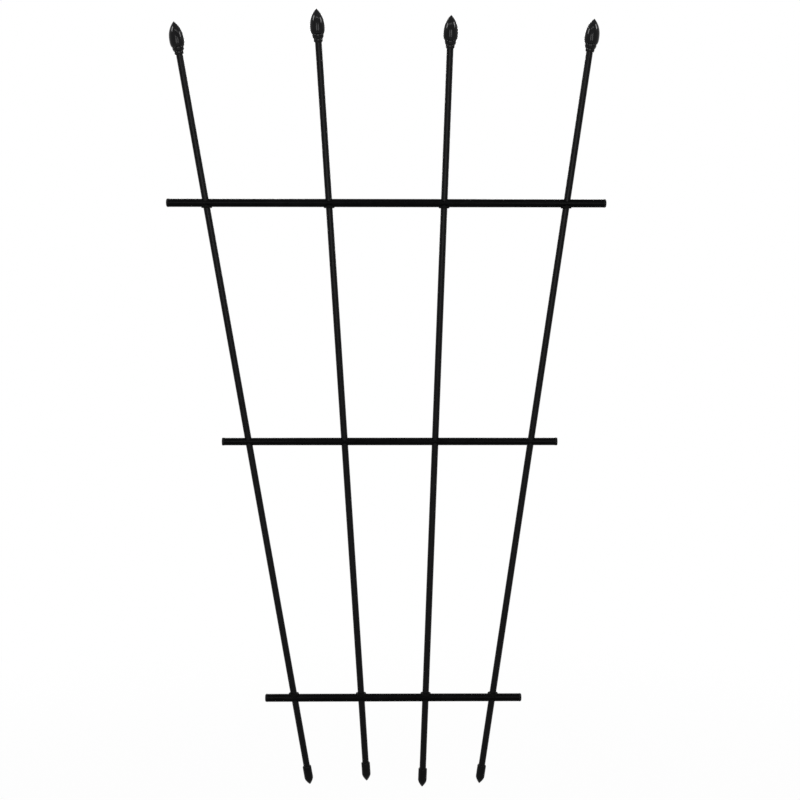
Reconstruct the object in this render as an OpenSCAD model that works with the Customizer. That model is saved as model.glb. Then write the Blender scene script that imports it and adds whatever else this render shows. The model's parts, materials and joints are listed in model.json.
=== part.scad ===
// Espalier frame: four uprights that fan out through three level cross bars.
// Sizes are in millimetres. +Z is up, the frame stands in the XZ plane and its front looks along -Y.
// The origin lies on the soil line, straight below the middle of the bottom bar.
// Uprights count from the left, and the bars count from the bottom.

/* [Fan] */
// Height of the top bar's axis above the soil
top_bar_z = 1015; // [850:1:1300]
// Height of the middle bar's axis above the soil
middle_bar_z = 561; // [200:1:800]
// Height of the bottom bar's axis above the soil
bottom_bar_z = 52; // [20:1:120]
// Distance between the outer uprights at the top bar
top_outer_pitch = 679; // [520:1:900]
// Distance between the inner uprights at the top bar
top_inner_pitch = 217; // [150:1:300]
// Distance between the outer uprights at the bottom bar
bottom_outer_pitch = 388; // [300:1:480]
// Distance between the inner uprights at the bottom bar
bottom_inner_pitch = 126; // [90:1:170]
// How far the top bar has settled to the left of the bottom bar
lean = 13.6; // [0:0.1:30]

/* [Uprights] */
// Outer diameter of an upright's tube, coating included
upright_d = 12.8; // [9:0.1:16]
// Wall of an upright's tube
upright_wall = 0.8; // [0.5:0.1:1.5]
// Length of an upright's tube above the top bar's level
upright_rise = 323.5; // [200:0.5:480]
// Length of an upright's tube below the bottom bar's level
upright_drop = 164; // [100:0.5:250]
// How far upright 1 is pushed up through the bars
upright_1_set = -1.5; // [-15:0.1:15]
// How far upright 2 is pushed up through the bars
upright_2_set = 7.4; // [-15:0.1:15]
// How far upright 3 is pushed up through the bars
upright_3_set = -5.2; // [-15:0.1:15]
// How far upright 4 is pushed up through the bars
upright_4_set = 0.2; // [-15:0.1:15]

/* [Bars] */
// Metal left on either side of the widest hole in a bar
bar_cheek = 0.62; // [0.4:0.01:2]
// Wall of a bar's tube
bar_wall = 1.2; // [0.8:0.1:1.6]
// Length of the top bar past the outer uprights
top_bar_overhang = 74.5; // [40:0.5:150]
// Length of the middle bar past the outer uprights
middle_bar_overhang = 51; // [40:0.5:150]
// Length of the bottom bar past the outer uprights
bottom_bar_overhang = 57.5; // [40:0.5:150]
// Clearance all round an upright in a plain hole
hole_gap = 0.3; // [0.2:0.05:0.5]

/* [Grommets] */
// Diameter of a grommet's flange
grommet_flange_d = 20; // [18:0.5:28]
// Height that the flange stands over the bar's crown
grommet_flange_t = 1.9; // [1:0.1:4]
// Depth that the flange reaches down the bar's flanks
grommet_saddle = 3; // [1:0.1:4]
// Rounding of the flange's outer edge
grommet_round = 0.7; // [0.2:0.1:0.9]
// Depth of the stem below the bar's crown
grommet_depth = 4.5; // [3:0.1:6]
// Wall of the stem round the upright
grommet_wall = 0.6; // [0.5:0.05:1.2]
// Sliding clearance all round an upright in a grommet
slide_gap = 0.08; // [0.02:0.01:0.1]

/* [End caps] */
// How far a cap's head stands proud of the bar all round
cap_lip = 0.3; // [0.1:0.05:1]
// Length of a cap's head
cap_head = 4.5; // [3:0.1:8]
// Rounding of the heads' outer edge on the top and bottom bars
cap_round = 3.2; // [0.5:0.1:4]
// Rounding of the heads' outer edge on the middle bar
middle_cap_round = 1.2; // [0.5:0.1:4]
// Length of the stem inside the bar
cap_stem = 14; // [8:0.5:25]
// Ribs round the stem
cap_ribs = 3; // [2:1:5]
// Height of a rib over the stem's core
cap_rib = 1; // [0.5:0.1:2]

/* [Finials] */
// Length of a finial from its lowest ring to its tip
finial_l = 61.5; // [50:0.5:80]
// Greatest diameter of the bud
bud_d = 28; // [22:0.1:32]
// Height of the bud's widest place over the lowest ring
bud_belly_z = 25.7; // [20:0.1:30]
// Height of the lower ring
lower_ring_h = 6.2; // [5:0.1:8]
// How far the lower ring stands out from the upright all round
lower_ring_wall = 2.2; // [1.5:0.05:3]
// Height of the upper ring
upper_ring_h = 8.2; // [5:0.1:9]
// How far the upper ring stands out from the upright all round
upper_ring_wall = 4.4; // [3.5:0.05:5]
// Depth of the grooves at the rings' edges
ring_groove = 0.6; // [0.3:0.05:1]
// Depth of the socket for the upright
finial_socket = 33; // [20:0.5:38]

/* [Feet] */
// Length of a foot
foot_l = 37.5; // [30:0.5:60]
// Wall of a foot's barrel round the upright
foot_wall = 2.1; // [1.5:0.1:4]
// Length of the blunt point
foot_point = 14; // [8:0.5:20]
// Flat left at the tip of the point, across
foot_tip_d = 1.6; // [0.8:0.1:3]
// Rounding of the shoulder
foot_shoulder = 1.8; // [0.5:0.1:2]
// Depth of the socket for the upright
foot_socket = 24.5; // [15:0.5:27]

/* [Hidden] */
// Clearance of pieces that are pushed together and stay so
fit_gap = 0.05;
// Smoothness of round shapes, and of the arcs in an outline
$fn = 72;
arc_step = 15;
curve_steps = 24;
// Fullness of a bud's flanks over its belly: 2 is a parabola's, and more is fuller
bud_fullness = 2.5;
// Bluntness of a bud's tip: 1 is a sharp cone's, and less is blunter
bud_bluntness = 0.95;
// Fullness of a foot's point: 1 is a straight cone
point_fullness = 1.6;
// Where a cap's rib starts, comes to its full height and ends, in its stretch of the stem
rib_shares = [5 / 6, 1 / 2, 1 / 6];

BARS = [0, 1, 2];
BOTTOM = 0;
TOP = 2;
UPRIGHTS = [0, 1, 2, 3];
ENDS = [-1, 1];
BAR_NAMES = ["bottom", "middle", "top"];
bar_zs = [bottom_bar_z, middle_bar_z, top_bar_z];
bar_overhangs = [bottom_bar_overhang, middle_bar_overhang, top_bar_overhang];
cap_rounds = [cap_round, middle_cap_round, cap_round];
upright_sets = [upright_1_set, upright_2_set, upright_3_set, upright_4_set];
// Side of each bar that its grommets sit on: 1 is above, -1 below, 0 has none
grommet_sides = [1, 0, -1];

upright_r = upright_d / 2;
upright_l = upright_drop + top_bar_z - bottom_bar_z + upright_rise;
stem_r = upright_r + slide_gap + grommet_wall;
seat_r = stem_r + fit_gap;
hole_r = upright_r + hole_gap;
// A bar's widest hole and the metal beside it set its radius, so a bar with plain holes is slimmer
bar_rs = [for (side = grommet_sides) (side == 0 ? hole_r : seat_r) + bar_cheek];
socket_r = upright_r + fit_gap;
flange_r = grommet_flange_d / 2;
// Reach of a cut that goes right through a bar
through = 2 * (max(bar_rs) + grommet_flange_t + flange_r);

// Where the uprights cross the bars
bottom_xs = [-bottom_outer_pitch, -bottom_inner_pitch, bottom_inner_pitch, bottom_outer_pitch] / 2;
top_xs = [for (p = [-top_outer_pitch, -top_inner_pitch, top_inner_pitch, top_outer_pitch]) p / 2 - lean];
function rise_share(bar) = (bar_zs[bar] - bottom_bar_z) / (top_bar_z - bottom_bar_z);
function crossing_x(bar, i) = bottom_xs[i] + (top_xs[i] - bottom_xs[i]) * rise_share(bar);
function tilt(i) = atan2(top_xs[i] - bottom_xs[i], top_bar_z - bottom_bar_z);
function bar_x(bar) = (crossing_x(bar, 0) + crossing_x(bar, 3)) / 2;
function bar_half_l(bar) = (crossing_x(bar, 3) - crossing_x(bar, 0)) / 2 + bar_overhangs[bar];
// Where an upright's axis comes out of a bar's crown, on the side that its grommets sit on
function crown_x(bar, i) = crossing_x(bar, i) + grommet_sides[bar] * bar_rs[bar] * tan(tilt(i));

function cap_name(bar, end) = str(BAR_NAMES[bar], end < 0 ? "_left" : "_right", "_cap");
function grommet_name(bar, i) = str(BAR_NAMES[bar], "_grommet_", i + 1);

// Outer corner of a turned outline, rounded about a centre from its side to its top
function corner(x, y, r) = [for (a = [0 : arc_step : 90]) [x + r * cos(a), y + r * sin(a)]];
// Rounded ring on a turned outline, from (ra, ha) to (rb, hb), swelling in between
function bead(ra, ha, rb, hb, swell) = [for (a = [0 : arc_step : 180]) let (share = (1 - cos(a)) / 2)
    [ra + (rb - ra) * share + swell * sin(a), ha + (hb - ha) * share]];

// Frame of an upright: its tube's lower end at the origin, its axis along Z
module along_upright(i)
    translate([crossing_x(BOTTOM, i), 0, bottom_bar_z])
        rotate([0, tilt(i), 0])
            translate([0, 0, upright_sets[i] - upright_drop])
                children();

// Frame of a crossing: the bar's axis and the upright's axis meet at the origin, the upright along Z
module at_crossing(bar, i)
    translate([crossing_x(bar, i), 0, bar_zs[bar]])
        rotate([0, tilt(i), 0])
            children();

// Frame of a grommet's stem: as a crossing's, with Z out of the bar on the side where the flange sits
module at_grommet(bar, i)
    at_crossing(bar, i)
        mirror([0, 0, grommet_sides[bar] < 0 ? 1 : 0])
            children();

// Frame of a grommet's flange: square to the bar, over the place where the upright comes out of its crown
module on_crown(bar, i)
    translate([crown_x(bar, i), 0, bar_zs[bar]])
        mirror([0, 0, grommet_sides[bar] < 0 ? 1 : 0])
            children();

// Frame of a bar: its middle at the origin, its axis along Z
module along_bar(bar)
    translate([bar_x(bar), 0, bar_zs[bar]])
        rotate([0, 90, 0])
            children();

// Coated steel tube of an upright
module upright(i) {
    color("#17171a")
        along_upright(i)
            difference() {
                cylinder(r = upright_r, h = upright_l);
                translate([0, 0, -fit_gap])
                    cylinder(r = upright_r - upright_wall, h = upright_l + 2 * fit_gap);
            }
}

// Moulded bud on two rings, with a socket for the upright's end
module finial(i) {
    bud_r = bud_d / 2;
    waist_z = lower_ring_h + upper_ring_h;
    lower_r = upright_r + lower_ring_wall;
    upper_r = upright_r + upper_ring_wall;
    hem_r = upright_r + ring_groove;
    groove_r = lower_r - ring_groove;
    waist_r = upper_r - ring_groove;
    belly = [for (n = [1 : curve_steps / 2]) let (a = 180 * n / curve_steps)
        [waist_r + (bud_r - waist_r) * sin(a), bud_belly_z - (bud_belly_z - waist_z) * cos(a)]];
    point = [for (n = [1 : curve_steps]) let (share = n / curve_steps)
        [bud_r * pow(1 - pow(share, bud_fullness), bud_bluntness),
            bud_belly_z + (finial_l - bud_belly_z) * share]];
    rings = concat(
        bead(hem_r, 0, groove_r, lower_ring_h, lower_r - (hem_r + groove_r) / 2),
        bead(groove_r, lower_ring_h, waist_r, waist_z, upper_r - (groove_r + waist_r) / 2)
    );
    outline = concat([[0, 0]], rings, belly, point);
    color("#141416")
        along_upright(i)
            translate([0, 0, upright_l + fit_gap - finial_socket])
                difference() {
                    rotate_extrude()
                        polygon(outline);
                    translate([0, 0, -fit_gap])
                        cylinder(r = socket_r, h = finial_socket + fit_gap);
                }
}

// Moulded foot with a blunt point, and a socket for the upright's end
module foot(i) {
    foot_r = upright_r + foot_wall;
    tip_r = foot_tip_d / 2;
    point = [for (n = [0 : curve_steps / 2]) let (share = 2 * n / curve_steps)
        [foot_r - (foot_r - tip_r) * pow(1 - share, point_fullness), foot_point * share]];
    shoulder = corner(foot_r - foot_shoulder, foot_l - foot_shoulder, foot_shoulder);
    color("#141416")
        along_upright(i)
            translate([0, 0, foot_socket - foot_l - fit_gap])
                difference() {
                    rotate_extrude()
                        polygon(concat([[0, 0]], point, shoulder, [[0, foot_l]]));
                    translate([0, 0, foot_l - foot_socket])
                        cylinder(r = socket_r, h = foot_socket + fit_gap);
                }
}

// Coated steel tube of a bar, drilled at the uprights' own slants
module bar_tube(bar) {
    bar_r = bar_rs[bar];
    tube_l = 2 * (bar_half_l(bar) - cap_head);
    color("#101012")
        difference() {
            along_bar(bar)
                difference() {
                    cylinder(r = bar_r, h = tube_l, center = true);
                    cylinder(r = bar_r - bar_wall, h = tube_l + 2 * fit_gap, center = true);
                }
            for (i = UPRIGHTS) {
                at_crossing(bar, i)
                    cylinder(r = hole_r, h = through, center = true);
                if (grommet_sides[bar] != 0)
                    at_grommet(bar, i)
                        translate([0, 0, bar_r - grommet_depth - fit_gap])
                            cylinder(r = seat_r, h = through / 2);
            }
        }
}

// Soft grommet round the upright: a flange that straddles the bar's crown, and a slanting stem in the seat
module grommet(bar, i) {
    bar_r = bar_rs[bar];
    low = bar_r - grommet_saddle;
    high = bar_r + grommet_flange_t;
    stem_l = grommet_depth + grommet_flange_t + stem_r;
    rim = corner(flange_r - grommet_round, high - grommet_round, grommet_round);
    color("#0e0e10")
        difference() {
            union() {
                difference() {
                    on_crown(bar, i)
                        rotate_extrude()
                            polygon(concat([[0, low], [flange_r, low]], rim, [[0, high]]));
                    along_bar(bar)
                        cylinder(r = bar_r + fit_gap, h = 2 * bar_half_l(bar), center = true);
                }
                difference() {
                    at_grommet(bar, i)
                        translate([0, 0, bar_r - grommet_depth])
                            cylinder(r = stem_r, h = stem_l);
                    on_crown(bar, i)
                        translate([0, 0, bar_r + grommet_flange_t / 2])
                            cylinder(r = flange_r, h = through);
                }
            }
            at_crossing(bar, i)
                cylinder(r = upright_r + slide_gap, h = through, center = true);
        }
}

// Moulded plug in a bar's end: a round head and a stem with barbed ribs
module bar_cap(bar, end) {
    bar_r = bar_rs[bar];
    head_r = bar_r + cap_lip;
    head_round = cap_rounds[bar];
    rib_r = bar_r - bar_wall - fit_gap;
    core_r = rib_r - cap_rib;
    rib_pitch = cap_stem / cap_ribs;
    ribs = [for (n = [cap_ribs - 1 : -1 : 0], point = [[core_r, 0], [rib_r, 1], [rib_r, 2], [core_r, 2]])
        [point[0], -(n + rib_shares[point[1]]) * rib_pitch]];
    stem = concat([[0, -cap_stem], [core_r, -cap_stem]], ribs, [[core_r, 0]]);
    rim = corner(head_r - head_round, cap_head - head_round, head_round);
    head = concat([[head_r, 0]], rim, [[0, cap_head]]);
    color("#121214")
        along_bar(bar)
            mirror([0, 0, end < 0 ? 1 : 0])
                translate([0, 0, bar_half_l(bar) - cap_head])
                    rotate_extrude()
                        polygon(concat(stem, head));
}

for (i = UPRIGHTS) {
    upright(i);
    finial(i);
    foot(i);
}
for (bar = BARS) {
    bar_tube(bar);
    for (end = ENDS)
        bar_cap(bar, end);
}
for (bar = [BOTTOM, TOP], i = UPRIGHTS)
    grommet(bar, i);
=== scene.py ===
import json
import math

import bpy
from mathutils import Matrix, Vector


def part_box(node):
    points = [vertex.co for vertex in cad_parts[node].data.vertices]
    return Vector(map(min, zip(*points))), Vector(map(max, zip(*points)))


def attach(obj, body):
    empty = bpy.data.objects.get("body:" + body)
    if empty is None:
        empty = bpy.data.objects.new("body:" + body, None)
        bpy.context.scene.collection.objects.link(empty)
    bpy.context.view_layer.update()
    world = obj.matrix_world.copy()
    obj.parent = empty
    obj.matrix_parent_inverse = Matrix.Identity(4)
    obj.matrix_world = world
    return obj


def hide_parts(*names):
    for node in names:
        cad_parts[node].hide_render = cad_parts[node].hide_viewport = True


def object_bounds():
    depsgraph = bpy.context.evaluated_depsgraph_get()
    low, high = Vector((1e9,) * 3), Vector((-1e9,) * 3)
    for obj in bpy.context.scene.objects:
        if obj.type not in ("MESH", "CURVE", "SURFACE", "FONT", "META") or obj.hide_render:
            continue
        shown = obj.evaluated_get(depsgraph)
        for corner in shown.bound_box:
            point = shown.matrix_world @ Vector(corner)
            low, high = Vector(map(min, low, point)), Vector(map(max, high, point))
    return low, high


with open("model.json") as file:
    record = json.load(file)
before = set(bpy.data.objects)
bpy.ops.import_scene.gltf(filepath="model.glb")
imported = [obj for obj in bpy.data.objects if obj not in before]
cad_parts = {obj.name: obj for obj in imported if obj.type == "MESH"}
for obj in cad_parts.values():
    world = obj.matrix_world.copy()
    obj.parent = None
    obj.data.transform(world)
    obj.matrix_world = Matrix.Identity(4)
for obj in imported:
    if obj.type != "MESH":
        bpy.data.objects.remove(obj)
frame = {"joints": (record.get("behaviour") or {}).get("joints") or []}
cad_low, cad_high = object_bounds()

# Cross bars
# Three level steel tubes under a black powder coat. Each is drilled right through at its four uprights' own
# slants. The bottom bar's holes widen into grommet seats on top, and the top bar's underneath.
MM = 0.001
UPRIGHTS = (1, 2, 3, 4)
SEAT_SIDES = {"bottom": 1, "middle": 0, "top": -1}

bar_wall = 1.2 * MM
bar_sides = 112
bar_ring_pitch = 20 * MM
drilled_reach = 14 * MM
drilled_ring_pitch = 2 * MM
broken_edge = 0.25 * MM
hole_gap = 0.3 * MM
hole_sides = 80
cut_reach = 24 * MM
weld_reach = 0.002 * MM
smooth_angle = math.radians(32)

# The grommets' stems, which the seats are drilled for
slide_gap = 0.08 * MM
stem_wall = 0.6 * MM
stem_depth = 4.5 * MM
seating_gap = 0.05 * MM

axes = {joint["child"]: Vector(joint["axis"]).normalized() for joint in frame["joints"]}
upright_r = (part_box("upright_1")[1].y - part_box("upright_1")[0].y) / 2
hole_r = upright_r + hole_gap
bore_r = upright_r + slide_gap
stem_r = bore_r + stem_wall


def middle_of(node):
    """Middle of a node's box."""
    low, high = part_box(node)
    return (low + high) / 2


def bar_radius(bar):
    """Radius of a bar, from its box."""
    low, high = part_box(f"{bar}_bar")
    return (high.z - low.z) / 2


def about_y(degrees):
    """A turn about the Y axis."""
    return Matrix.Rotation(math.radians(degrees), 4, "Y")


def slant_of(i):
    """The turn that lays Z along an upright."""
    axis = axes[f"upright_{i}"]
    return Matrix.Rotation(math.atan2(axis.x, axis.z), 4, "Y")


def bar_frame(bar):
    """Where a bar lies: its middle at the origin, its length along Z."""
    return Matrix.Translation(middle_of(f"{bar}_bar")) @ about_y(90)


def crossing_frame(bar, i):
    """Where an upright crosses a bar: the upright along Z, the bar's axis through the origin."""
    axis = axes[f"upright_{i}"]
    middle = middle_of(f"upright_{i}")
    rise = (middle_of(f"{bar}_bar").z - middle.z) / axis.z
    return Matrix.Translation(middle + axis * rise) @ slant_of(i)


def turned(name, outline, sides):
    """Turns a piece about Z: a ring of edges is drawn out and resized through the outline's (radius, height)
    points. An outline that starts on the axis has a flat start, and one that ends there closes to a point.
    Any other comes back to its first point and is joined up."""
    solid = outline[0][0] == 0
    rings = outline[1:] if solid else outline
    bpy.ops.object.select_all(action="DESELECT")
    bpy.ops.mesh.primitive_circle_add(
        vertices=sides, radius=rings[0][0], fill_type="TRIFAN" if solid else "NOTHING"
    )
    piece = bpy.context.object
    piece.name = piece.data.name = name
    bpy.ops.object.mode_set(mode="EDIT")
    bpy.ops.transform.translate(value=(0, 0, rings[0][1]))
    if solid:
        bpy.ops.mesh.select_mode(type="EDGE")
        bpy.ops.mesh.select_all(action="DESELECT")
        bpy.ops.mesh.select_non_manifold(extend=False)
    for (radius, height), (next_radius, next_height) in zip(rings, rings[1:]):
        bpy.ops.mesh.extrude_region_move(TRANSFORM_OT_translate={"value": (0, 0, next_height - height)})
        if next_radius == 0:
            bpy.ops.mesh.merge(type="CENTER")
        else:
            share = next_radius / radius
            bpy.ops.transform.resize(value=(share, share, 1), center_override=(0, 0, next_height))
    bpy.ops.mesh.select_all(action="SELECT")
    bpy.ops.mesh.remove_doubles(threshold=weld_reach)
    bpy.ops.mesh.normals_make_consistent(inside=False)
    bpy.ops.object.mode_set(mode="OBJECT")
    return piece


def pick(*pieces):
    """Selects these pieces alone, the last of them active."""
    bpy.ops.object.select_all(action="DESELECT")
    for piece in pieces:
        piece.select_set(True)
        bpy.context.view_layer.objects.active = piece


def cut_or_join(piece, tool, operation):
    """Cuts the tool from the piece or joins it on, welds the points that fall together along the cut, and
    clears the tool away."""
    pick(piece)
    modifier = piece.modifiers.new(operation.lower(), "BOOLEAN")
    modifier.operation = operation
    modifier.solver = "EXACT"
    modifier.object = tool
    bpy.ops.object.modifier_apply(modifier=modifier.name)
    bpy.ops.object.mode_set(mode="EDIT")
    bpy.ops.mesh.select_all(action="SELECT")
    bpy.ops.mesh.remove_doubles(threshold=weld_reach)
    bpy.ops.object.mode_set(mode="OBJECT")
    bpy.data.objects.remove(tool)


def fit(piece, place, material, body, node):
    """Finishes a piece: keeps its own coordinates for lengthwise marks, sets it in its place in the frame,
    and hands it to its body in the stead of its node."""
    pick(piece)
    bpy.ops.object.shade_smooth_by_angle(angle=smooth_angle)
    lie = piece.data.attributes.new("lie", "FLOAT_VECTOR", "POINT")
    lie.data.foreach_set("vector", [value for vertex in piece.data.vertices for value in vertex.co])
    piece.matrix_world = place
    bpy.ops.object.transform_apply(location=True, rotation=True, scale=True)
    piece.data.materials.clear()
    piece.data.materials.append(material)
    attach(piece, body)
    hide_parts(node)


def tube_outline(radius, wall, half_length, stops):
    """Closed outline of a tube with broken end edges and a ring of points at every stop."""
    bore = radius - wall
    end = half_length - broken_edge
    stops = sorted(stop for stop in stops if abs(stop) < end)
    outer = [(radius - broken_edge, -half_length), (radius, -end)]
    outer += [(radius, stop) for stop in stops]
    outer += [(radius, end), (radius - broken_edge, half_length)]
    inner = [(bore + broken_edge, half_length), (bore, end), (bore, -end), (bore + broken_edge, -half_length)]
    return outer + inner + outer[:1]


def spaced(low, high, pitch):
    """Even stops from low to high, no further apart than the pitch."""
    count = math.ceil((high - low) / pitch)
    return [low + (high - low) * n / count for n in range(count + 1)]


def add_node(tree, kind, inputs=(), **settings):
    """Adds a shader node, with its settings, its inputs' values and the sockets that feed it."""
    node = tree.nodes.new(kind)
    for name, value in settings.items():
        setattr(node, name, value)
    for name, value in dict(inputs).items():
        if isinstance(value, bpy.types.NodeSocket):
            tree.links.new(value, node.inputs[name])
        else:
            node.inputs[name].default_value = value
    return node


def new_group(name, inputs, outputs):
    """An empty shader node group with named sockets, its input node and its output node."""
    tree = bpy.data.node_groups.new(name, "ShaderNodeTree")
    for socket, kind in inputs.items():
        tree.interface.new_socket(socket, in_out="INPUT", socket_type=f"NodeSocket{kind}")
    for socket, kind in outputs.items():
        tree.interface.new_socket(socket, in_out="OUTPUT", socket_type=f"NodeSocket{kind}")
    return tree, tree.nodes.new("NodeGroupInput"), tree.nodes.new("NodeGroupOutput")


# A mix node has sockets of several kinds under one name, so they are told apart by number
VALUE_A, VALUE_B, MIXED_VALUE = 2, 3, 0
COLOUR_A, COLOUR_B, MIXED_COLOUR = 6, 7, 2

# Cloudy tone of a sprayed or moulded black surface, which shifts its colour and its gloss together
tone, tone_in, tone_out = new_group(
    "cloudy_tone",
    {"Scale": "Float", "Deep": "Color", "Pale": "Color", "Glossy": "Float", "Dull": "Float"},
    {"Color": "Color", "Roughness": "Float"},
)
spot = add_node(tone, "ShaderNodeTexCoord").outputs["Object"]
cloud = add_node(
    tone,
    "ShaderNodeTexNoise",
    {"Vector": spot, "Scale": tone_in.outputs["Scale"], "Detail": 5, "Roughness": 0.6},
).outputs["Fac"]
spread = add_node(
    tone, "ShaderNodeMapRange", {"Value": cloud, "From Min": 0.35, "From Max": 0.65}
).outputs["Result"]
colour = add_node(
    tone,
    "ShaderNodeMix",
    {"Factor": spread, COLOUR_A: tone_in.outputs["Deep"], COLOUR_B: tone_in.outputs["Pale"]},
    data_type="RGBA",
).outputs[MIXED_COLOUR]
gloss = add_node(
    tone,
    "ShaderNodeMix",
    {"Factor": spread, VALUE_A: tone_in.outputs["Glossy"], VALUE_B: tone_in.outputs["Dull"]},
    data_type="FLOAT",
).outputs[MIXED_VALUE]
tone.links.new(colour, tone_out.inputs["Color"])
tone.links.new(gloss, tone_out.inputs["Roughness"])

# Skin of a surface: a soft peel with a finer grain over it
grain_fineness = 4.3
skin, skin_in, skin_out = new_group("skin", {"Scale": "Float", "Grain": "Float"}, {"Height": "Float"})
spot = add_node(skin, "ShaderNodeTexCoord").outputs["Object"]
peel = add_node(
    skin, "ShaderNodeTexNoise", {"Vector": spot, "Scale": skin_in.outputs["Scale"], "Detail": 1}
).outputs["Fac"]
finer = add_node(
    skin, "ShaderNodeMath", {0: skin_in.outputs["Scale"], 1: grain_fineness}, operation="MULTIPLY"
).outputs[0]
grain = add_node(
    skin, "ShaderNodeTexNoise", {"Vector": spot, "Scale": finer, "Detail": 2}
).outputs["Fac"]
height = add_node(
    skin,
    "ShaderNodeMath",
    {0: grain, 1: skin_in.outputs["Grain"], 2: peel},
    operation="MULTIPLY_ADD",
).outputs[0]
skin.links.new(height, skin_out.inputs["Height"])

# Fine marks of handling that run with the length of a piece, gathered in patches
mark_fineness = (1500, 1500, 28)
mark_dulling = 0.2
patch_fineness = 42
marks, marks_in, marks_out = new_group("handling_marks", {"Amount": "Float"}, {"Mask": "Float"})
lie = add_node(marks, "ShaderNodeAttribute", attribute_name="lie").outputs["Vector"]
drawn = add_node(marks, "ShaderNodeMapping", {"Vector": lie, "Scale": mark_fineness}).outputs["Vector"]
lines = add_node(marks, "ShaderNodeTexNoise", {"Vector": drawn, "Scale": 1, "Detail": 2}).outputs["Fac"]
lines = add_node(
    marks, "ShaderNodeMapRange", {"Value": lines, "From Min": 0.6, "From Max": 0.74}
).outputs["Result"]
patches = add_node(
    marks, "ShaderNodeTexNoise", {"Vector": lie, "Scale": patch_fineness, "Detail": 3}
).outputs["Fac"]
patches = add_node(
    marks, "ShaderNodeMapRange", {"Value": patches, "From Min": 0.5, "From Max": 0.72}
).outputs["Result"]
mask = add_node(marks, "ShaderNodeMath", {0: lines, 1: patches}, operation="MULTIPLY").outputs[0]
mask = add_node(
    marks, "ShaderNodeMath", {0: mask, 1: marks_in.outputs["Amount"]}, operation="MULTIPLY"
).outputs[0]
marks.links.new(mask, marks_out.inputs["Mask"])


def black_finish(name, tone_values, skin_values, bump, specular, mark_amount=0, mark_colour=(0, 0, 0, 1)):
    """A black material: cloudy tone, skin as bump, and handling marks that are paler and duller."""
    material = bpy.data.materials.new(name)
    material.use_nodes = True
    tree = material.node_tree
    shader = tree.nodes["Principled BSDF"]
    shader.inputs["Specular IOR Level"].default_value = specular
    toned = add_node(tree, "ShaderNodeGroup", node_tree=tone)
    skinned = add_node(tree, "ShaderNodeGroup", node_tree=skin)
    for group, values in ((toned, tone_values), (skinned, skin_values)):
        for socket, value in values.items():
            group.inputs[socket].default_value = value
    colour, roughness = toned.outputs["Color"], toned.outputs["Roughness"]
    if mark_amount:
        marked = add_node(tree, "ShaderNodeGroup", node_tree=marks)
        marked.inputs["Amount"].default_value = mark_amount
        colour = add_node(
            tree,
            "ShaderNodeMix",
            {"Factor": marked.outputs["Mask"], COLOUR_A: colour, COLOUR_B: mark_colour},
            data_type="RGBA",
        ).outputs[MIXED_COLOUR]
        roughness = add_node(
            tree,
            "ShaderNodeMath",
            {0: marked.outputs["Mask"], 1: mark_dulling, 2: roughness},
            operation="MULTIPLY_ADD",
        ).outputs[0]
    tree.links.new(colour, shader.inputs["Base Color"])
    tree.links.new(roughness, shader.inputs["Roughness"])
    raised = add_node(
        tree,
        "ShaderNodeBump",
        {"Height": skinned.outputs["Height"], "Strength": 1, "Distance": bump},
    )
    tree.links.new(raised.outputs["Normal"], shader.inputs["Normal"])
    return material


powder_coat = black_finish(
    "powder_coat",
    {
        "Scale": 30,
        "Deep": (0.0009, 0.0009, 0.001, 1),
        "Pale": (0.0022, 0.0022, 0.0024, 1),
        "Glossy": 0.2,
        "Dull": 0.3,
    },
    {"Scale": 900, "Grain": 0.25},
    bump=0.012 * MM,
    specular=0.016,
    mark_amount=0.4,
    mark_colour=(0.012, 0.012, 0.0125, 1),
)

for bar, side in SEAT_SIDES.items():
    low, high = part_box(f"{bar}_bar")
    bar_r = bar_radius(bar)
    half_length = (high.x - low.x) / 2
    to_bar = bar_frame(bar).inverted()
    drillings = [to_bar @ crossing_frame(bar, i) for i in UPRIGHTS]
    stops = spaced(-half_length, half_length, bar_ring_pitch)
    for drilling in drillings:
        along = drilling.translation.z
        stops = [stop for stop in stops if abs(stop - along) > drilled_reach]
        stops += spaced(along - drilled_reach, along + drilled_reach, drilled_ring_pitch)
    tube = turned(f"{bar}_bar_tube", tube_outline(bar_r, bar_wall, half_length, stops), bar_sides)
    seat_r = stem_r + seating_gap if side else hole_r
    step = bar_r - stem_depth - seating_gap
    drill_outline = [(0, -cut_reach), (hole_r, -cut_reach), (hole_r, step)]
    drill_outline += [(seat_r, step), (seat_r, cut_reach), (0, cut_reach)]
    drill = turned("drill", drill_outline, hole_sides)
    drills = []
    for drilling in drillings:
        pick(drill)
        bpy.ops.object.duplicate()
        bpy.context.object.matrix_world = drilling @ about_y(180 if side < 0 else 0)
        drills.append(bpy.context.object)
    bpy.data.objects.remove(drill)
    pick(*drills)
    bpy.ops.object.join()
    cut_or_join(tube, bpy.context.object, "DIFFERENCE")
    fit(tube, bar_frame(bar), powder_coat, "bars", f"{bar}_bar")

# End caps
# Moulded black plugs, one in each end of a bar. A head, squarer on the middle bar, stands a hair proud of the
# tube with a fine shadow line behind it, and three barbed ribs on the stem hold it in the bore.
cap_sides = 96
cap_lip = 0.3 * MM
cap_head = 4.5 * MM
cap_rounds = {"bottom": 3.2 * MM, "middle": 1.2 * MM, "top": 3.2 * MM}
cap_stem = 14 * MM
cap_ribs = 3
cap_rib = 1 * MM
cap_slack = 0.05 * MM
rib_shares = (5 / 6, 1 / 2, 1 / 6)
edge_steps = 4
cap_round_steps = 12


def rounded(centre_r, centre_h, radius, start, end, steps):
    """Points of an arc on a turned outline, from one angle to another, in degrees from the side."""
    angles = [math.radians(start + (end - start) * n / steps) for n in range(steps + 1)]
    return [(centre_r + radius * math.cos(a), centre_h + radius * math.sin(a)) for a in angles]


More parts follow.
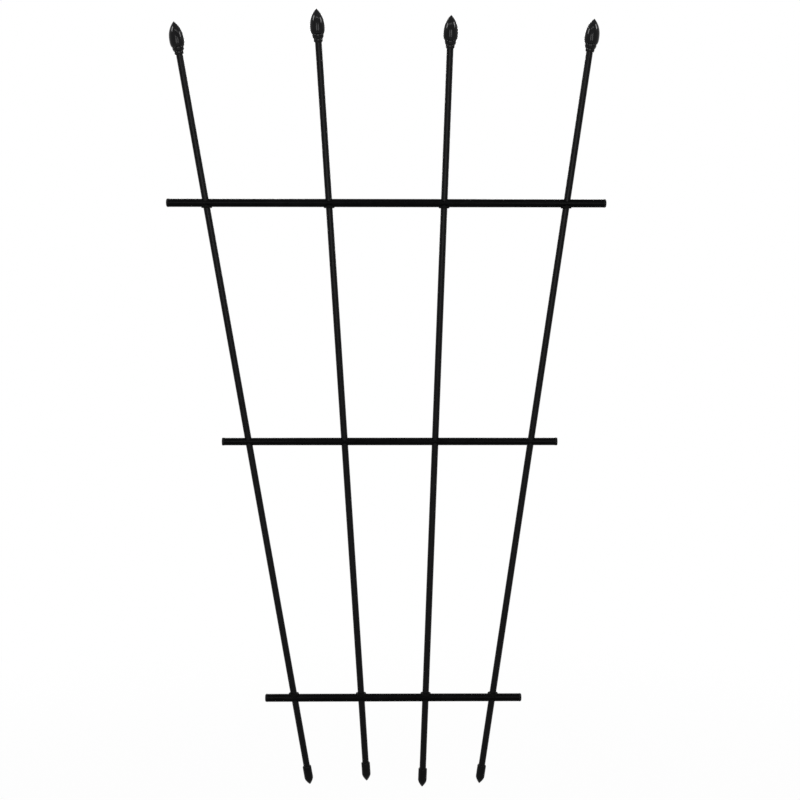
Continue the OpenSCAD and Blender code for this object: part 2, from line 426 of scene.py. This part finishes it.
def copy_of(piece, name):
    """A copy of a piece, with a mesh of its own."""
    pick(piece)
    bpy.ops.object.duplicate()
    copy = bpy.context.object
    copy.name = copy.data.name = name
    return copy


cap_plastic = black_finish(
    "cap_plastic",
    {
        "Scale": 120,
        "Deep": (0.0012, 0.0012, 0.0014, 1),
        "Pale": (0.0026, 0.0026, 0.0028, 1),
        "Glossy": 0.36,
        "Dull": 0.5,
    },
    {"Scale": 1600, "Grain": 0.5},
    bump=0.018 * MM,
    specular=0.06,
)

rib_pitch = cap_stem / cap_ribs
for bar in SEAT_SIDES:
    low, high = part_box(f"{bar}_bar")
    bar_r = bar_radius(bar)
    head_r = bar_r + cap_lip
    rib_r = bar_r - bar_wall - cap_slack
    core_r = rib_r - cap_rib
    cap_outline = [(0, -cap_stem), (core_r, -cap_stem)]
    for n in reversed(range(cap_ribs)):
        foot_h, crest_h, end_h = (-(n + share) * rib_pitch for share in rib_shares)
        cap_outline += [(core_r, foot_h), (rib_r, crest_h), (rib_r, end_h), (core_r, end_h)]
    cap_outline += [(core_r, 0)]
    cap_outline += rounded(head_r - broken_edge, broken_edge, broken_edge, -90, 0, edge_steps)
    cap_round = cap_rounds[bar]
    cap_outline += rounded(head_r - cap_round, cap_head - cap_round, cap_round, 0, 90, cap_round_steps)
    cap_outline += [(core_r / 2, cap_head), (0, cap_head)]
    cap = turned("cap", cap_outline, cap_sides)
    for side, end, turn in (("left", low.x, -90), ("right", high.x, 90)):
        place = Matrix.Translation((end, 0, middle_of(f"{bar}_bar").z)) @ about_y(turn)
        plug = copy_of(cap, f"{bar}_{side}_plug")
        fit(plug, place, cap_plastic, "bars", f"{bar}_{side}_cap")
    bpy.data.objects.remove(cap)

# Grommets
# Soft black rings pressed into the drilled seats. The stem slants with the hole and lines it, so that the
# upright slides in it with some drag. The flange lies level and straddles the bar's crown.
flange_sides = 96
flange_r = 10 * MM
flange_t = 1.9 * MM
flange_saddle = 3 * MM
flange_round = 0.7 * MM
flange_round_steps = 8

rubber = black_finish(
    "rubber",
    {
        "Scale": 160,
        "Deep": (0.0012, 0.0012, 0.0012, 1),
        "Pale": (0.003, 0.003, 0.0029, 1),
        "Glossy": 0.62,
        "Dull": 0.8,
    },
    {"Scale": 2200, "Grain": 0.6},
    bump=0.02 * MM,
    specular=0.04,
)

bar_r = bar_radius("top")
flange_low = bar_r - flange_saddle
flange_top = bar_r + flange_t
flange_outline = [(0, flange_low), (flange_r, flange_low)]
flange_outline += rounded(
    flange_r - flange_round, flange_top - flange_round, flange_round, 0, 90, flange_round_steps
)
flange_outline += [(stem_r, flange_top), (0, flange_top)]


def round_bar(name, radius, low, high, sides, place):
    """A plain round bar from one height to another, set in its place."""
    piece = turned(name, [(0, low), (radius, low), (radius, high), (0, high)], sides)
    piece.matrix_world = place
    return piece


for i in UPRIGHTS:
    axis = axes[f"upright_{i}"]
    slant = slant_of(i)
    crown = Matrix.Translation((bar_r * axis.x / axis.z, 0, 0))
    flange = turned("flange", flange_outline, flange_sides)
    flange.matrix_world = crown
    bed = round_bar("bed", bar_r + seating_gap, -cut_reach, cut_reach, bar_sides, about_y(90))
    cut_or_join(flange, bed, "DIFFERENCE")
    stem = round_bar("stem", stem_r, bar_r - stem_depth, cut_reach, flange_sides, slant)
    level = round_bar("level", cut_reach, flange_top - flange_t / 2, 2 * cut_reach, flange_sides, crown)
    cut_or_join(stem, level, "DIFFERENCE")
    cut_or_join(flange, stem, "UNION")
    bore = round_bar("bore", bore_r, -cut_reach, cut_reach, flange_sides, slant)
    cut_or_join(flange, bore, "DIFFERENCE")
    pick(flange)
    bpy.ops.object.transform_apply(location=True, rotation=True, scale=True)
    for bar, turn in (("bottom", 0), ("top", 180)):
        crossing = Matrix.Translation(crossing_frame(bar, i).translation)
        ring = copy_of(flange, f"{bar}_grommet_ring_{i}")
        fit(ring, crossing @ about_y(turn), rubber, "bars", f"{bar}_grommet_{i}")
    bpy.data.objects.remove(flange)

# Uprights
# Thin steel tubes under a black coat that shines a little more than the bars', each in one length, threaded
# up through all three bars. Both cut ends are hidden, one in a foot and one in a finial.
upright_wall = 0.8 * MM
upright_sides = 72
upright_ring_pitch = 30 * MM

upright_coat = black_finish(
    "upright_coat",
    {
        "Scale": 30,
        "Deep": (0.001, 0.001, 0.0012, 1),
        "Pale": (0.0024, 0.0024, 0.0027, 1),
        "Glossy": 0.26,
        "Dull": 0.38,
    },
    {"Scale": 900, "Grain": 0.25},
    bump=0.012 * MM,
    specular=0.07,
    mark_amount=0.5,
    mark_colour=(0.014, 0.014, 0.0145, 1),
)


def half_of_upright(i):
    """Half an upright's length along its own axis, from its box."""
    low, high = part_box(f"upright_{i}")
    axis = axes[f"upright_{i}"]
    return ((high.z - low.z) - 2 * upright_r * abs(axis.x)) / axis.z / 2


for i in UPRIGHTS:
    node = f"upright_{i}"
    half_length = half_of_upright(i)
    stops = spaced(-half_length, half_length, upright_ring_pitch)
    outline = tube_outline(upright_r, upright_wall, half_length, stops)
    tube = turned(f"upright_tube_{i}", outline, upright_sides)
    place = Matrix.Translation(middle_of(node)) @ slant_of(i)
    fit(tube, place, upright_coat, node, node)

# Finials
# Moulded glossy black buds, pushed over the uprights' top ends. Two rounded rings step out to the bud, with a
# fine groove under each, and the bud draws up to a point.
finial_sides = 96
finial_l = 61.5 * MM
finial_socket = 32.95 * MM
socket_slack = 0.05 * MM
bud_r = 14 * MM
bud_fullness = 2.5
bud_bluntness = 0.95
belly_h = 25.7 * MM
lower_ring_h = 6.2 * MM
upper_ring_h = 8.2 * MM
lower_ring_wall = 2.2 * MM
upper_ring_wall = 4.4 * MM
ring_groove = 0.6 * MM
bead_steps = 14
bud_steps = 28

bud_plastic = black_finish(
    "bud_plastic",
    {
        "Scale": 90,
        "Deep": (0.0012, 0.0012, 0.0014, 1),
        "Pale": (0.0026, 0.0026, 0.0029, 1),
        "Glossy": 0.11,
        "Dull": 0.19,
    },
    {"Scale": 700, "Grain": 0.2},
    bump=0.01 * MM,
    specular=0.12,
)


def bead(start, end, swell, steps):
    """Points of a rounded ring on a turned outline, from one (radius, height) to another."""
    points = []
    for n in range(steps + 1):
        turn = math.pi * n / steps
        share = (1 - math.cos(turn)) / 2
        radius = start[0] + (end[0] - start[0]) * share + swell * math.sin(turn)
        points.append((radius, start[1] + (end[1] - start[1]) * share))
    return points


socket_r = upright_r + socket_slack
hem_r = upright_r + ring_groove
groove_r = upright_r + lower_ring_wall - ring_groove
waist_r = upright_r + upper_ring_wall - ring_groove
waist_h = lower_ring_h + upper_ring_h
finial_outline = [(0, finial_socket), (socket_r, finial_socket), (socket_r, 0)]
lower_swell = upright_r + lower_ring_wall - (hem_r + groove_r) / 2
upper_swell = upright_r + upper_ring_wall - (groove_r + waist_r) / 2
finial_outline += bead((hem_r, 0), (groove_r, lower_ring_h), lower_swell, bead_steps)
finial_outline += bead((groove_r, lower_ring_h), (waist_r, waist_h), upper_swell, bead_steps)[1:]
for n in range(1, bud_steps // 2 + 1):
    turn = math.pi * n / bud_steps
    finial_outline.append(
        (waist_r + (bud_r - waist_r) * math.sin(turn), belly_h - (belly_h - waist_h) * math.cos(turn))
    )
for n in range(1, bud_steps + 1):
    share = n / bud_steps
    flank_r = bud_r * (1 - share**bud_fullness) ** bud_bluntness
    finial_outline.append((flank_r, belly_h + (finial_l - belly_h) * share))
finial = turned("finial", finial_outline, finial_sides)
for i in UPRIGHTS:
    node = f"upright_{i}"
    base = middle_of(node) + axes[node] * (half_of_upright(i) - finial_socket)
    place = Matrix.Translation(base) @ slant_of(i)
    bud = copy_of(finial, f"bud_{i}")
    fit(bud, place, bud_plastic, node, f"finial_{i}")
bpy.data.objects.remove(finial)

# Feet
# Moulded satin black feet, pushed over the uprights' bottom ends: a straight barrel with a round shoulder,
# and a full blunt point that goes into the ground first.
foot_sides = 96
foot_l = 37.5 * MM
foot_r = 8.5 * MM
foot_socket = 24.5 * MM
foot_point = 14 * MM
foot_fullness = 1.6
foot_tip_r = 0.8 * MM
foot_shoulder = 1.8 * MM
shoulder_steps = 10
foot_steps = 16

foot_plastic = black_finish(
    "foot_plastic",
    {
        "Scale": 110,
        "Deep": (0.0012, 0.0012, 0.0014, 1),
        "Pale": (0.0026, 0.0026, 0.0029, 1),
        "Glossy": 0.28,
        "Dull": 0.4,
    },
    {"Scale": 1100, "Grain": 0.35},
    bump=0.016 * MM,
    specular=0.06,
    mark_amount=0.7,
    mark_colour=(0.014, 0.014, 0.0145, 1),
)

foot_outline = [(0, foot_l - foot_socket), (socket_r, foot_l - foot_socket), (socket_r, foot_l)]
foot_outline += rounded(
    foot_r - foot_shoulder, foot_l - foot_shoulder, foot_shoulder, 90, 0, shoulder_steps
)
foot_outline += [(foot_r, (foot_l + foot_point) / 2)]
for n in range(foot_steps + 1):
    share = 1 - n / foot_steps
    foot_outline.append((foot_r - (foot_r - foot_tip_r) * (1 - share) ** foot_fullness, foot_point * share))
foot_outline += [(0, 0)]
foot = turned("foot", foot_outline, foot_sides)
for i in UPRIGHTS:
    node = f"upright_{i}"
    tip = middle_of(node) - axes[node] * (half_of_upright(i) + foot_l - foot_socket + socket_slack)
    place = Matrix.Translation(tip) @ slant_of(i)
    point = copy_of(foot, f"foot_point_{i}")
    fit(point, place, foot_plastic, node, f"foot_{i}")
bpy.data.objects.remove(foot)

# Floor and surround
# A plain pale floor, low enough for the uprights to be pushed right down above it, and a white surround. Both
# are seen as white by the camera and in reflections, and the floor near the frame keeps part of its own light
# and shade.
floor_half = 30
floor_colour = (0.86, 0.86, 0.86, 1)
floor_glow_near = 0.94
floor_glow_reach = (0.9, 2.2)
surround_light = 0.1
push_down = max(-joint["range_m"][0] for joint in frame["joints"])


def seen_directly(tree):
    """One where a ray comes from the camera, a reflection or clear glass, and nought elsewhere."""
    path = add_node(tree, "ShaderNodeLightPath")
    seen = path.outputs["Is Camera Ray"]
    for other in ("Is Glossy Ray", "Is Transmission Ray"):
        seen = add_node(
            tree, "ShaderNodeMath", {0: seen, 1: path.outputs[other]}, operation="MAXIMUM"
        ).outputs[0]
    return seen


pick()
bpy.ops.mesh.primitive_plane_add(size=2 * floor_half, location=(0, 0, cad_low.z - push_down))
floor = bpy.context.object
floor.name = "floor"
bpy.ops.object.transform_apply(location=True, rotation=True, scale=True)
pale_floor = bpy.data.materials.new("pale_floor")
pale_floor.use_nodes = True
tree = pale_floor.node_tree
tree.nodes.clear()
spot = add_node(tree, "ShaderNodeTexCoord").outputs["Object"]
away = add_node(tree, "ShaderNodeVectorMath", {0: spot}, operation="LENGTH").outputs["Value"]
glow = add_node(
    tree,
    "ShaderNodeMapRange",
    {
        "Value": away,
        "From Min": floor_glow_reach[0],
        "From Max": floor_glow_reach[1],
        "To Min": floor_glow_near,
        "To Max": 1,
    },
    interpolation_type="SMOOTHSTEP",
).outputs["Result"]
glow = add_node(tree, "ShaderNodeMath", {0: glow, 1: seen_directly(tree)}, operation="MULTIPLY").outputs[0]
plain = add_node(tree, "ShaderNodeBsdfDiffuse", {"Color": floor_colour})
white = add_node(tree, "ShaderNodeEmission", {"Color": (1, 1, 1, 1), "Strength": 1})
mixed = add_node(tree, "ShaderNodeMixShader", {0: glow})
tree.links.new(plain.outputs[0], mixed.inputs[1])
tree.links.new(white.outputs[0], mixed.inputs[2])
tree.links.new(mixed.outputs[0], add_node(tree, "ShaderNodeOutputMaterial").inputs["Surface"])
floor.data.materials.append(pale_floor)

surround = bpy.data.worlds.new("surround")
bpy.context.scene.world = surround
surround.use_nodes = True
tree = surround.node_tree
tree.nodes.clear()
lit = add_node(tree, "ShaderNodeBackground", {"Color": (1, 1, 1, 1), "Strength": surround_light})
white = add_node(tree, "ShaderNodeBackground", {"Color": (1, 1, 1, 1), "Strength": 1})
mixed = add_node(tree, "ShaderNodeMixShader", {0: seen_directly(tree)})
tree.links.new(lit.outputs[0], mixed.inputs[1])
tree.links.new(white.outputs[0], mixed.inputs[2])
tree.links.new(mixed.outputs[0], add_node(tree, "ShaderNodeOutputWorld").inputs["Surface"])

# Studio light
# Two tall soft lamps stand in front, left and right of the camera, two more stand high at the sides, and two
# light the back. A wide one hangs over the front, and a weak one low down lifts the bars' undersides.
LAMPS = {
    "left_lamp": {"place": (-0.6, -2.6, 1.3), "size": (0.5, 1.5), "power": 20},
    "right_lamp": {"place": (0.6, -2.6, 1.3), "size": (0.5, 1.5), "power": 20},
    "high_left_lamp": {"place": (-2.0, -0.6, 2.7), "size": (0.5, 0.9), "power": 35},
    "high_right_lamp": {"place": (2.0, -0.6, 2.7), "size": (0.5, 0.9), "power": 35},
    "back_left_lamp": {"place": (-0.6, 2.6, 1.6), "size": (0.5, 1.5), "power": 20},
    "back_right_lamp": {"place": (0.6, 2.6, 1.6), "size": (0.5, 1.5), "power": 20},
    "top_lamp": {"place": (0, -1.3, 2.7), "size": (1.6, 0.16), "power": 6},
    "low_lamp": {"place": (0, -1.25, 0.05), "size": (1.6, 0.2), "power": 1.5},
}
lamp_target = Vector((0, 0, 0.75))
for name, lamp in LAMPS.items():
    light = bpy.data.lights.new(name, "AREA")
    light.shape = "RECTANGLE"
    light.size, light.size_y = lamp["size"]
    light.energy = lamp["power"]
    stand = bpy.data.objects.new(name, light)
    bpy.context.scene.collection.objects.link(stand)
    stand.visible_camera = False
    stand.location = lamp["place"]
    stand.rotation_euler = (lamp_target - stand.location).to_track_quat("-Z", "Y").to_euler()

# Camera
# It stands square to the frame at about the height of the top bar and looks down a little.
camera_place = Vector((-0.0224, -2.8, 0.997))
camera_pitch, camera_yaw, camera_roll = (math.radians(angle) for angle in (7.239, 0.707, 0.082))
view = bpy.data.cameras.new("camera")
view.sensor_width = 36
view.lens = 66.34
camera = bpy.data.objects.new("camera", view)
bpy.context.scene.collection.objects.link(camera)
turn = Matrix.Rotation(-camera_yaw, 4, "Z") @ Matrix.Rotation(math.radians(90) - camera_pitch, 4, "X")
camera.matrix_world = Matrix.Translation(camera_place) @ turn @ Matrix.Rotation(camera_roll, 4, "Z")
bpy.context.scene.camera = camera
bpy.context.scene.view_settings.view_transform = "Standard"
